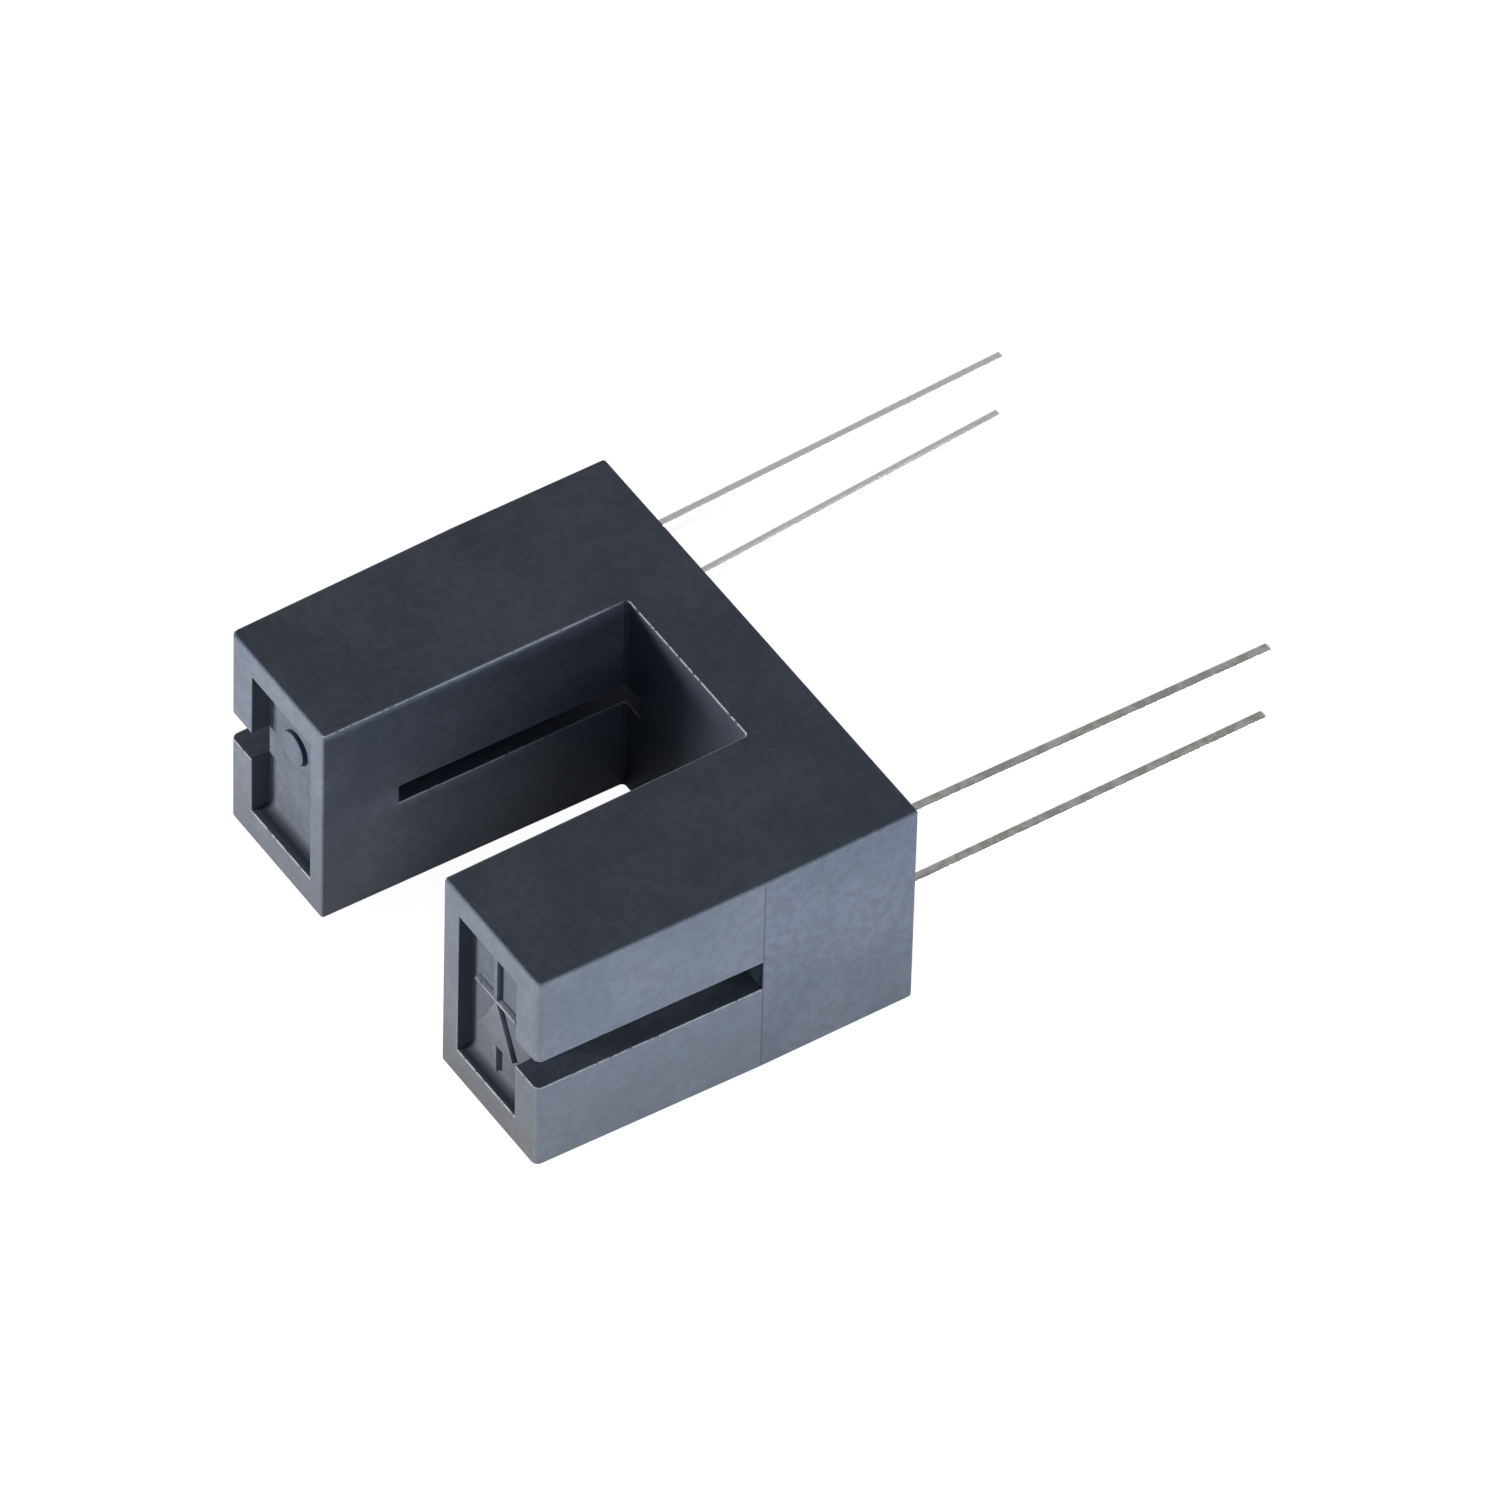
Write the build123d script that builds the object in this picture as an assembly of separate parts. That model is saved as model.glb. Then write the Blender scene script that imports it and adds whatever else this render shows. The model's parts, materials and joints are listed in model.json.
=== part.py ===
from build123d import *

import os

# Slotted optical switch in millimetres. A moulded U-shaped housing holds an
# infrared emitter package in one arm and a phototransistor package in the
# other, and the four leads come out of the base.
#
# The origin is the middle of the seating face, where the leads come out. +Y runs
# along the leads, so the arm ends lie at -Y. +X points to the emitter arm, and
# +Z out of the broad side that faces up when the switch lies down.

# Slot between the arms
slot_width = 5.0
slot_mouth_draft = 0.05
slot_root_radius = 0.1

# Housing walls, from the outside of an arm to the slot
outer_wall = 1.0
inner_wall = 0.7
broad_wall = 0.86
end_plate = 0.6
base_thickness = 2.0

# Mould drafts, as what each side loses from the parting line or the seat
tip_side_draft = 0.1
seat_side_draft = 0.03
tip_broad_draft = 0.07
parting_from_tip = 6.03

# Edges of the housing
arm_outer_radius = 0.18
arm_slot_radius = 0.08
seat_corner_radius = 0.08
rim_radius = 0.07

# Recess in each arm end
recess_depth = 0.5
recess_broad_wall = 0.8
recess_slot_wall = 0.54
recess_above_middle = 0.08
recess_corner_radius = 0.08

# Round pip on the floor of the detector arm's recess
pip_radius = 0.45
pip_height = 0.12
pip_from_outer_wall = 1.15
pip_above_middle = 0.74

# Side slot in the outer wall, open at the arm end and closed at the parting line
side_slot_height = 0.87

# Aperture slit in the inner wall, which runs on through the base
slit_height = 0.55
slit_beyond_lens = 1.06
slit_overrun = 0.6

# Side-looking package of moulded epoxy
package_width = 4.4
package_length = 5.7
package_thickness = 1.5
package_draft_angle = 5.0
package_corner_chamfer = 0.6
package_clearance = 0.03
mouth_depth = 3.37

# Lens on the package face
lens_radius = 1.15
lens_height = 0.75
lens_clearance = 0.1
lens_from_package_end = 2.0

# Stamped leads
lead_pitch = 2.54
lead_width = 0.4
lead_sheet = 0.25
lead_reach = 10.5
lead_tip_bevel = 0.08
lead_from_package_back = 0.28

# Shoulder and dam bar stub of a lead, between the package and the seat
shoulder_width = 0.62
shoulder_length = 0.8
stub_length = 0.3
stub_width = 0.64
stub_from_package = 1.5

# Lead ends inside the package
stem_in_package = 1.2
die_pad_size = 1.3
die_pad_neck = 0.5
bond_pad_length = 1.1
bond_pad_width = 0.7

# Dies, die attach and bond wire
emitter_chip_size = 0.36
emitter_chip_height = 0.2
detector_chip_size = 0.8
detector_chip_height = 0.25
attach_height = 0.03
attach_margin = 0.05
wire_radius = 0.025
wire_loop = 0.3
wire_bend_radius = 0.12
wire_level_share = 0.4
ball_radius = 0.06
ball_height = 0.04

# Leads as they stand, a little bent, the upper lead first. Each has risen along
# the thickness where it leaves the seat, and each tip stands off its own
# straight line, outwards across the arms and along the thickness.
exit_rises = (0.19, 0.32)
emitter_tip_offsets = ((0.09, 0.19), (0.05, 0.45))
detector_tip_offsets = ((0.43, 0.18), (0.45, 0.78))

# Sizes that follow from the ones above
pocket_depth = package_thickness + 2 * package_clearance
lens_channel_depth = lens_height + lens_clearance
arm_width = outer_wall + pocket_depth + lens_channel_depth + inner_wall
body_length = recess_depth + end_plate + package_clearance + package_length + mouth_depth
pocket_height = package_width + 2 * package_clearance
seat_thickness = pocket_height + 2 * broad_wall
tip_thickness = seat_thickness - 2 * tip_broad_draft

# Places along the leads
tip_y = -body_length
parting_y = tip_y + parting_from_tip
slot_root_y = -base_thickness
pocket_end_y = tip_y + recess_depth + end_plate
package_end_y = pocket_end_y + package_clearance
package_base_y = package_end_y + package_length
stub_y = package_base_y + stub_from_package
jog_y = stub_y + stub_length
lens_y = package_end_y + lens_from_package_end
slit_end_y = lens_y - slit_beyond_lens

# Places across the emitter arm, from the slot outwards
slot_face_x = slot_width / 2
lens_channel_x = slot_face_x + inner_wall
pocket_inner_x = lens_channel_x + lens_channel_depth
pocket_outer_x = pocket_inner_x + pocket_depth
arm_outer_x = slot_face_x + arm_width
package_middle_x = pocket_inner_x + pocket_depth / 2
lens_base_x = package_middle_x - package_thickness / 2
lead_middle_x = package_middle_x + package_thickness / 2 - lead_from_package_back
lead_face_x = lead_middle_x - lead_sheet / 2

# How far a cut runs past the face that it opens
past_face = 1.0


def box_between(low, high):
    """Solid box from its two opposite corners."""
    size = Vector(*high) - Vector(*low)
    middle = (Vector(*high) + Vector(*low)) / 2
    return Pos(middle) * Box(size.X, size.Y, size.Z)


def housing_outline():
    """U shape seen on the broad side, widest at the parting line."""
    right_half = [
        ((arm_outer_x - seat_side_draft, 0), seat_corner_radius),
        ((arm_outer_x, parting_y), 0),
        ((arm_outer_x - tip_side_draft, tip_y), arm_outer_radius),
        ((slot_face_x + slot_mouth_draft, tip_y), arm_slot_radius),
        ((slot_face_x, slot_root_y), slot_root_radius),
    ]
    left_half = [((-x, y), radius) for (x, y), radius in reversed(right_half)]
    corners = right_half + left_half
    points = [point for point, radius in corners]
    radii = [radius for point, radius in corners]
    return make_face(FilletPolyline(*points, radius=radii, close=True))


def housing_side_profile():
    """Side view of the housing, thinner towards the arm ends."""
    seat = seat_thickness / 2
    tip = tip_thickness / 2
    corners = [(0, seat), (0, -seat), (tip_y, -tip), (tip_y, tip)]
    return Plane.YZ * make_face(Polyline(*corners, close=True))


def housing_block():
    """Drafted U block with softened rims on both broad sides."""
    plan = extrude(housing_outline(), amount=seat_thickness, both=True)
    side = extrude(housing_side_profile(), amount=2 * arm_outer_x, both=True)
    block = plan & side
    faces = block.faces().sort_by(Axis.Z)
    rims = faces[-1].edges() + faces[0].edges()
    return fillet(rims, rim_radius)


def package_pocket():
    """Pocket for the package body, open at the seat."""
    low = (pocket_inner_x, pocket_end_y, -pocket_height / 2)
    high = (pocket_outer_x, past_face, pocket_height / 2)
    return box_between(low, high)


def lens_channel():
    """Narrower channel that lets the lens slide in, open at the seat."""
    reach = lens_radius + lens_clearance
    low = (lens_channel_x, lens_y - reach, -reach)
    high = (package_middle_x, past_face, reach)
    return box_between(low, high)


def aperture_slit():
    """Slit through the inner wall that runs on through the base to the seat."""
    low = (slot_face_x - slit_overrun, slit_end_y, -slit_height / 2)
    high = (pocket_inner_x, past_face, slit_height / 2)
    return box_between(low, high)


def side_slot():
    """Slot through the outer wall, from the arm end to the parting line."""
    low = (pocket_outer_x, tip_y - past_face, -side_slot_height / 2)
    high = (arm_outer_x + past_face, parting_y, side_slot_height / 2)
    return box_between(low, high)


def end_recess():
    """Rectangular recess in the arm end, with small corner radii."""
    low_x = slot_face_x + slot_mouth_draft + recess_slot_wall
    width = pocket_outer_x - low_x
    height = tip_thickness - 2 * recess_broad_wall
    opening = RectangleRounded(width, height, recess_corner_radius)
    middle = (low_x + width / 2, tip_y + recess_depth, recess_above_middle)
    floor = Plane(middle, x_dir=(1, 0, 0), z_dir=(0, -1, 0))
    return extrude(floor * opening, amount=recess_depth + past_face)


def recess_pip():
    """Round pip that stands on the recess floor of the detector arm."""
    place = (pip_from_outer_wall - pocket_outer_x, tip_y + recess_depth, pip_above_middle)
    return extrude(Plane(place, z_dir=(0, -1, 0)) * Circle(pip_radius), amount=pip_height)


def arm_cuts():
    """Everything that is hollow in the emitter arm."""
    return [package_pocket(), lens_channel(), aperture_slit(), side_slot(), end_recess()]


def housing():
    """The moulded body with both arms hollowed and the pip added."""
    body = housing_block()
    for cut in arm_cuts():
        body = body - cut - mirror(cut, about=Plane.YZ)
    return body + recess_pip()


def package_body():
    """Epoxy block with draft on both sides of its own parting plane."""
    half = package_thickness / 2
    across = package_width / 2
    shoulder = across - package_corner_chamfer
    corners = [
        (package_base_y, across),
        (package_base_y, -across),
        (package_end_y + package_corner_chamfer, -across),
        (package_end_y, -shoulder),
        (package_end_y, shoulder),
        (package_end_y + package_corner_chamfer, across),
    ]
    middle = Plane((package_middle_x, 0, 0), x_dir=(0, 1, 0), z_dir=(1, 0, 0))
    outline = middle * make_face(Polyline(*corners, close=True))
    outer = extrude(outline, amount=half, taper=package_draft_angle)
    return outer + mirror(outer, about=middle)


def package_lens():
    """Dome that faces the slot."""
    sphere_radius = (lens_radius**2 + lens_height**2) / (2 * lens_height)
    reach = 2 * sphere_radius
    centre_x = lens_base_x - lens_height + sphere_radius
    sphere = Pos(centre_x, lens_y, 0) * Sphere(sphere_radius)
    low = (centre_x - reach, lens_y - reach, -reach)
    high = (lens_base_x, lens_y + reach, reach)
    return sphere & box_between(low, high)


def stem_strip(side, start_y, end_y, width):
    """Straight strip of lead on the upper (1) or lower (-1) lead line."""
    middle_z = side * lead_pitch / 2
    low = (lead_face_x, start_y, middle_z - width / 2)
    high = (lead_face_x + lead_sheet, end_y, middle_z + width / 2)
    return box_between(low, high)


def leaning_strip(start, end):
    """Strip of lead from one point to another further along Y."""
    run = Vector(*end) - Vector(*start)
    section = Plane(start, x_dir=(1, 0, 0), z_dir=(0, 1, 0)) * Rectangle(lead_sheet, lead_width)
    return extrude(section, amount=run.length, dir=run)


def free_end(side, exit_rise, tip_offset):
    """Jog inside the mouth, then the long run from the seat to the tip."""
    outwards, upwards = tip_offset
    line_z = side * lead_pitch / 2
    jog_start = (lead_middle_x, jog_y, line_z)
    seat_exit = (lead_middle_x, 0, line_z + exit_rise)
    tip = (lead_middle_x + outwards, lead_reach, line_z + upwards)
    run = leaning_strip(seat_exit, tip)
    tip_edges = run.faces().sort_by(Axis.Y)[-1].edges().filter_by(Axis.X)
    return leaning_strip(jog_start, seat_exit) + chamfer(tip_edges, lead_tip_bevel)


def lead_stem(side, exit_rise, tip_offset):
    """Stem, shoulder, dam bar stub and free end that both kinds of lead share."""
    stem = stem_strip(side, package_base_y - stem_in_package, jog_y, lead_width)
    shoulder = stem_strip(side, package_base_y, package_base_y + shoulder_length, shoulder_width)
    stub = stem_strip(side, stub_y, jog_y, stub_width)
    return stem + shoulder + stub + free_end(side, exit_rise, tip_offset)


def die_lead(exit_rise, tip_offset):
    """Upper lead, which widens into the pad under the die."""
    pad_y = lens_y + die_pad_size / 2
    stem_y = package_base_y - stem_in_package
    upper = die_pad_size / 2
    line_z = lead_pitch / 2
    neck_corners = [
        (pad_y, upper),
        (pad_y, upper - die_pad_neck),
        (stem_y, line_z - lead_width / 2),
        (stem_y, line_z + lead_width / 2),
    ]
    sheet_face = Plane((lead_face_x, 0, 0), x_dir=(0, 1, 0), z_dir=(1, 0, 0))
    neck = extrude(sheet_face * make_face(Polyline(*neck_corners, close=True)), amount=lead_sheet)
    pad = box_between(
        (lead_face_x, lens_y - die_pad_size / 2, -upper),
        (lead_face_x + lead_sheet, pad_y, upper),
    )
    return lead_stem(1, exit_rise, tip_offset) + neck + pad


def bond_pad_y():
    """Start of the bonding pad, which ends where the stem begins."""
    return package_base_y - stem_in_package - bond_pad_length


def bond_lead(exit_rise, tip_offset):
    """Lower lead, which ends in the pad for the bond wire."""
    stem_y = package_base_y - stem_in_package
    pad = stem_strip(-1, bond_pad_y(), stem_y, bond_pad_width)
    return lead_stem(-1, exit_rise, tip_offset) + pad


def die_attach(chip_size):
    """Thin layer of conductive adhesive between the pad and the die."""
    reach = chip_size / 2 + attach_margin
    low = (lead_face_x - attach_height, lens_y - reach, -reach)
    high = (lead_face_x, lens_y + reach, reach)
    return box_between(low, high)


def chip(chip_size, chip_height):
    """Die on its adhesive, centred under the lens."""
    reach = chip_size / 2
    base_x = lead_face_x - attach_height
    low = (base_x - chip_height, lens_y - reach, -reach)
    high = (base_x, lens_y + reach, reach)
    return box_between(low, high)


def bond_wire(chip_height):
    """Wire with its ball on the die, looped over to the bonding pad."""
    die_top_x = lead_face_x - attach_height - chip_height
    start = Vector(die_top_x, lens_y, 0)
    towards_pad = Vector(0, bond_pad_y() + bond_pad_length / 2 - lens_y, -lead_pitch / 2)
    span = towards_pad.length
    drop = attach_height + chip_height
    corners = [(0, 0), (0, wire_loop), (wire_level_share * span, wire_loop), (span, -drop)]
    loop_plane = Plane(start, x_dir=towards_pad, z_dir=towards_pad.cross(Vector(-1, 0, 0)))
    path = loop_plane * FilletPolyline(*corners, radius=wire_bend_radius)
    section = Plane(start, z_dir=(-1, 0, 0))
    wire = sweep(section * Circle(wire_radius), path=path)
    pad_face = Plane((lead_face_x, 0, 0), z_dir=(-1, 0, 0))
    ball = extrude(section * Circle(ball_radius), amount=ball_height)
    return split(wire, bisect_by=pad_face, keep=Keep.TOP) + ball


def device(chip_size, chip_height, tip_offsets):
    """One packaged die with its two leads, in the emitter arm's place."""
    upper_rise, lower_rise = exit_rises
    upper_tip, lower_tip = tip_offsets
    pieces = {
        "die_lead": die_lead(upper_rise, upper_tip),
        "bond_lead": bond_lead(lower_rise, lower_tip),
        "chip": chip(chip_size, chip_height),
        "die_attach": die_attach(chip_size),
        "bond_wire": bond_wire(chip_height),
    }
    epoxy = package_body() + package_lens()
    for piece in pieces.values():
        epoxy = epoxy - piece
    pieces["package"] = epoxy
    return pieces


def emitter_pieces():
    """The emitter's pieces under their own names."""
    sizes = (emitter_chip_size, emitter_chip_height)
    pieces = device(*sizes, emitter_tip_offsets)
    return {
        "emitter_package": pieces["package"],
        "emitter_cathode_lead": pieces["die_lead"],
        "emitter_anode_lead": pieces["bond_lead"],
        "emitter_chip": pieces["chip"],
        "emitter_die_attach": pieces["die_attach"],
        "emitter_bond_wire": pieces["bond_wire"],
    }


def detector_pieces():
    """The detector's pieces, mirrored into the other arm."""
    sizes = (detector_chip_size, detector_chip_height)
    pieces = device(*sizes, detector_tip_offsets)
    placed = {name: mirror(piece, about=Plane.YZ) for name, piece in pieces.items()}
    return {
        "detector_package": placed["package"],
        "detector_collector_lead": placed["die_lead"],
        "detector_emitter_lead": placed["bond_lead"],
        "detector_chip": placed["chip"],
        "detector_die_attach": placed["die_attach"],
        "detector_bond_wire": placed["bond_wire"],
    }


def write_parts():
    """Write one file for each separate piece."""
    os.makedirs("parts", exist_ok=True)
    pieces = {"housing": housing(), **emitter_pieces(), **detector_pieces()}
    for name, piece in pieces.items():
        export_step(piece, f"parts/{name}.step")


write_parts()
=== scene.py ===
"""Looks of a slotted optical switch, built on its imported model.

The moulded housing and the stamped leads get softened copies with real edges,
the recess floor of the emitter arm gets its raised diode sign, and every other
piece of the model gets its own finish.
"""

from __future__ import annotations

import json
import logging
import math
from collections.abc import Callable
from dataclasses import dataclass, field
from enum import Enum

import bmesh
import bpy
from mathutils import Matrix, Vector

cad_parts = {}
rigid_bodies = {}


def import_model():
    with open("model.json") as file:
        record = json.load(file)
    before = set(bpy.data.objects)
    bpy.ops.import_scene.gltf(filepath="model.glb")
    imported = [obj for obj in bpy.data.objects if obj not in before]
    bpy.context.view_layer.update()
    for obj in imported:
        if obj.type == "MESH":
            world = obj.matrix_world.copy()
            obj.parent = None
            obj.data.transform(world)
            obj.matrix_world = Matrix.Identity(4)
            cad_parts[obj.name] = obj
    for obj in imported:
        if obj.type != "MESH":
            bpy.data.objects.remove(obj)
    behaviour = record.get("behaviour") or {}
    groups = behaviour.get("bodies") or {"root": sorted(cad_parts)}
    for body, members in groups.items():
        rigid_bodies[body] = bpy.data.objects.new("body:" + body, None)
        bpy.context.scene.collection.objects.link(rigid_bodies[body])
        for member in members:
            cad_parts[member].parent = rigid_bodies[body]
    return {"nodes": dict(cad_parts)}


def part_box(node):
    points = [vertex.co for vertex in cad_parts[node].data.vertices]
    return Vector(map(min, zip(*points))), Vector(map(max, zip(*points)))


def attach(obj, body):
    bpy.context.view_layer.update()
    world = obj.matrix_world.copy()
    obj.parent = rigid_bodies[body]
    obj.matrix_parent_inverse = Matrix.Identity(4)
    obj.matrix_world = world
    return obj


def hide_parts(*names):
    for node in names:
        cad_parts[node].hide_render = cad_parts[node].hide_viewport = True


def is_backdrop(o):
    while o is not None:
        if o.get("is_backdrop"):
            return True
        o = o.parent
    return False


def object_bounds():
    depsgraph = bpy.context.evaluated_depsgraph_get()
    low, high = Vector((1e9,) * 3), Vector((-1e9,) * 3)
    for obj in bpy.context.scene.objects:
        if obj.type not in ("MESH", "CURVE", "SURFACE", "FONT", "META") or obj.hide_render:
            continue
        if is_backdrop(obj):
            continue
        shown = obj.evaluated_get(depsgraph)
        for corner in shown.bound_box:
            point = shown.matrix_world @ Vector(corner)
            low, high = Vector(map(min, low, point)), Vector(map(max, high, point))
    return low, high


log = logging.getLogger("optical_switch")

MM = 0.001
Colour = tuple[float, float, float]
Pair = tuple[float, float]
Lines = list[list[Vector]]
Outputs = bpy.types.NodeOutputs
Socket = bpy.types.NodeSocket
Node = bpy.types.Node
Tree = bpy.types.NodeTree
Material = bpy.types.Material
Piece = bpy.types.Object
Mesh = bmesh.types.BMesh
Face = bmesh.types.BMFace
Edge = bmesh.types.BMEdge


class Arm(Enum):
    """The two arms, with the names of their leads."""

    EMITTER = ("emitter_cathode_lead", "emitter_anode_lead")
    DETECTOR = ("detector_collector_lead", "detector_emitter_lead")


class Ray(Enum):
    """Kinds of ray that the floor and the backdrop tell apart, by their socket name."""

    CAMERA = "Is Camera Ray"
    GLOSSY = "Is Glossy Ray"
    TRANSMISSION = "Is Transmission Ray"


# Node trees


@dataclass
class Wiring:
    """Adds nodes to one node tree and joins their sockets.

    Args:
        tree: The node tree that is being built.
    """

    tree: Tree

    def feed(self, target: Socket, value: object) -> None:
        """Joins a socket to the target, or sets a plain value on it.

        Args:
            target: The input to feed.
            value: An output socket, or a number, colour or vector.
        """
        if isinstance(value, Socket):
            self.tree.links.new(value, target)
        else:
            target.default_value = value

    def add(self, kind: str, inputs: dict[str | int, object] | None = None, **settings: object) -> Node:
        """Adds one node.

        Args:
            kind: The node's class name.
            inputs: What feeds its inputs, by name or number.
            settings: Properties of the node to set.

        Returns:
            The new node.
        """
        node = self.tree.nodes.new(kind)
        for name, value in settings.items():
            setattr(node, name, value)
        for name, value in (inputs or {}).items():
            self.feed(node.inputs[name], value)
        return node

    def place(self) -> Socket:
        """Object coordinates."""
        return self.add("ShaderNodeTexCoord").outputs["Object"]

    def attribute(self, name: str) -> Socket:
        """The share that the mesh's faces carry under a name."""
        return self.add("ShaderNodeAttribute", attribute_name=name).outputs["Fac"]

    def maths(self, operation: str, first: object, second: object = 0.0) -> Socket:
        """Adds a Math node.

        Args:
            operation: The operation's name.
            first: The first value or socket.
            second: The second value or socket.

        Returns:
            The result's socket.
        """
        return self.add("ShaderNodeMath", {0: first, 1: second}, operation=operation).outputs[0]

    def times(self, first: object, second: object) -> Socket:
        """The product of two values or sockets."""
        return self.maths("MULTIPLY", first, second)

    def ramp(self, value: object, low: object, high: object) -> Socket:
        """Smooth step of a value from 0 at low to 1 at high.

        Args:
            value: The value or socket that is mapped.
            low: Where the step starts.
            high: Where the step ends.

        Returns:
            The step's socket.
        """
        inputs = {"Value": value, "From Min": low, "From Max": high}
        return self.add("ShaderNodeMapRange", inputs, interpolation_type="SMOOTHSTEP").outputs["Result"]

    def spread(self, value: object, low: float, high: float) -> Socket:
        """Maps a value from 0 to 1 onto low to high, without a smooth step."""
        inputs = {"Value": value, "To Min": low, "To Max": high}
        return self.add("ShaderNodeMapRange", inputs).outputs["Result"]

    def blend(self, factor: object, first: object, second: object) -> Socket:
        """Mixes two colours.

        Args:
            factor: The share of the second colour.
            first: The first colour or socket.
            second: The second colour or socket.

        Returns:
            The mixed colour's socket.
        """
        under, over = ((*value, 1.0) if isinstance(value, tuple) else value for value in (first, second))
        return self.add("ShaderNodeMix", {0: factor, 6: under, 7: over}, data_type="RGBA").outputs[2]

    def choose(self, mask: object, first: Socket, second: Socket) -> Socket:
        """Mixes two shaders, where the mask is the second one's share."""
        return self.add("ShaderNodeMixShader", {0: mask, 1: first, 2: second}).outputs[0]

    def noise(self, place: Socket, scale: object, detail: float) -> Socket:
        """Fractal noise of so many waves per metre, with so many finer layers."""
        inputs = {"Vector": place, "Scale": scale, "Detail": detail}
        return self.add("ShaderNodeTexNoise", inputs).outputs["Fac"]


def blank_tree(owner: Material | bpy.types.World) -> Wiring:
    """Wiring of a material's or the world's own tree, which is emptied first."""
    owner.use_nodes = True
    owner.node_tree.nodes.clear()
    return Wiring(owner.node_tree)


def shader_group(name: str, usual: dict[str, float], outputs: tuple[str, ...]) -> tuple[Wiring, Outputs]:
    """Starts a shader node group with number sockets.

    Args:
        name: The group's name.
        usual: Each input's name and usual value.
        outputs: The outputs' names.

    Returns:
        The wiring for its nodes, and the inputs that it is given.
    """
    tree = bpy.data.node_groups.new(name, "ShaderNodeTree")
    for label, value in usual.items():
        socket = tree.interface.new_socket(name=label, in_out="INPUT", socket_type="NodeSocketFloat")
        socket.default_value = value
    for label in outputs:
        tree.interface.new_socket(name=label, in_out="OUTPUT", socket_type="NodeSocketFloat")
    wiring = Wiring(tree)
    return wiring, wiring.add("NodeGroupInput").outputs


@dataclass
class SharedEffects:
    """Surface effects that more than one finish uses, each built once."""

    grain: Tree = field(init=False)
    edge_wear_and_glints: Tree = field(init=False)
    smudges: Tree = field(init=False)

    def __post_init__(self) -> None:
        """Builds the groups."""
        self.grain = self.build_grain()
        self.edge_wear_and_glints = self.build_edge_wear_and_glints()
        self.smudges = self.build_smudges()

    def build_grain(self) -> Tree:
        """Fine grain of a spark-eroded mould, with a slower waviness.

        Returns:
            The group, with Height, Fleck and Mottle outputs.
        """
        usual = {"Grain Scale": 16000.0, "Wave Scale": 2500.0, "Wave Share": 0.35}
        wiring, given = shader_group("moulded_grain", usual, ("Height", "Fleck", "Mottle"))
        place = wiring.place()
        fine = wiring.noise(place, given["Grain Scale"], 3.0)
        wave = wiring.noise(place, given["Wave Scale"], 1.0)
        clouds = wiring.noise(place, wiring.times(given["Grain Scale"], 0.27), 3.0)
        results = {
            "Height": wiring.maths("ADD", fine, wiring.times(wave, given["Wave Share"])),
            "Fleck": wiring.ramp(fine, 0.56, 0.72),
            "Mottle": wiring.ramp(clouds, 0.36, 0.64),
        }
        wiring.add("NodeGroupOutput", results)
        return wiring.tree

    def build_edge_wear_and_glints(self) -> Tree:
        """Burnished rims with painted highlights, broken along their length, and whole rubbed corners
        painted lighter.

        Returns:
            The group, with a Mask output that reads the rims' and corners' attributes, for worn rims
            with painted highlights and rubbed corners painted lighter, and a Scuff output that reads
            the round attribute.
        """
        usual = {"Break Scale": 3000.0, "Cover": 0.5, "Corner Share": 0.5}
        wiring, given = shader_group("edge_wear_and_glints", usual, ("Mask", "Scuff"))
        patches = wiring.noise(wiring.place(), given["Break Scale"], 4.0)
        start = wiring.maths("SUBTRACT", 0.8, wiring.times(given["Cover"], 0.6))
        broken = wiring.ramp(patches, wiring.maths("SUBTRACT", start, 0.12), start)
        # Rubbed corners painted lighter, as whole unbroken strips.
        rubbed = wiring.times(wiring.attribute("corner"), given["Corner Share"])
        # Worn rims, partly painted highlight, and rubbed corners, partly painted light.
        worn = wiring.maths("MAXIMUM", wiring.times(wiring.attribute("rim"), broken), rubbed)
        wiring.add("NodeGroupOutput", {"Mask": worn, "Scuff": wiring.attribute("round")})
        return wiring.tree

    def build_smudges(self) -> Tree:
        """Slow patches where a surface has been handled.

        Returns:
            The group, with a Mask output.
        """
        wiring, given = shader_group("handling_smudges", {"Patch Scale": 400.0}, ("Mask",))
        patches = wiring.noise(wiring.place(), given["Patch Scale"], 5.0)
        wiring.add("NodeGroupOutput", {"Mask": wiring.ramp(patches, 0.36, 0.66)})
        return wiring.tree


@dataclass
class Surface:
    """One material with its Principled shader, ready to be wired.

    Args:
        name: The material's name.
    """

    name: str
    material: Material = field(init=False)
    wiring: Wiring = field(init=False)
    shader: Node = field(init=False)
    place: Socket = field(init=False)

    def __post_init__(self) -> None:
        """Makes the material and its fixed nodes."""
        self.material = bpy.data.materials.new(self.name)
        self.wiring = blank_tree(self.material)
        self.shader = self.wiring.add("ShaderNodeBsdfPrincipled")
        self.wiring.add("ShaderNodeOutputMaterial", {"Surface": self.shader.outputs["BSDF"]})
        self.place = self.wiring.place()

    def group(self, tree: Tree, **values: float) -> Outputs:
        """Places a shared effect in this material.

        Args:
            tree: The effect's node group.
            values: Input values, with underscores for spaces.

        Returns:
            The effect's outputs.
        """
        inputs = {name.replace("_", " "): value for name, value in values.items()}
        return self.wiring.add("ShaderNodeGroup", inputs, node_tree=tree).outputs

    def feed(self, **values: object) -> None:
        """Feeds the shader's own inputs.

        Args:
            values: Sockets or plain values, with underscores for spaces.
        """
        for name, value in values.items():
            self.wiring.feed(self.shader.inputs[name.replace("_", " ")], value)

    def relief(self, height: Socket, depth: float) -> None:
        """Feeds the normal from a height that changes over the surface.

        Args:
            height: The height's socket, about 0 to 1.
            depth: What a height of 1 stands for, in metres.
        """
        bump = self.wiring.add("ShaderNodeBump", {"Strength": 1.0, "Distance": depth, "Height": height})
        self.feed(Normal=bump.outputs["Normal"])


# Finishes


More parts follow.
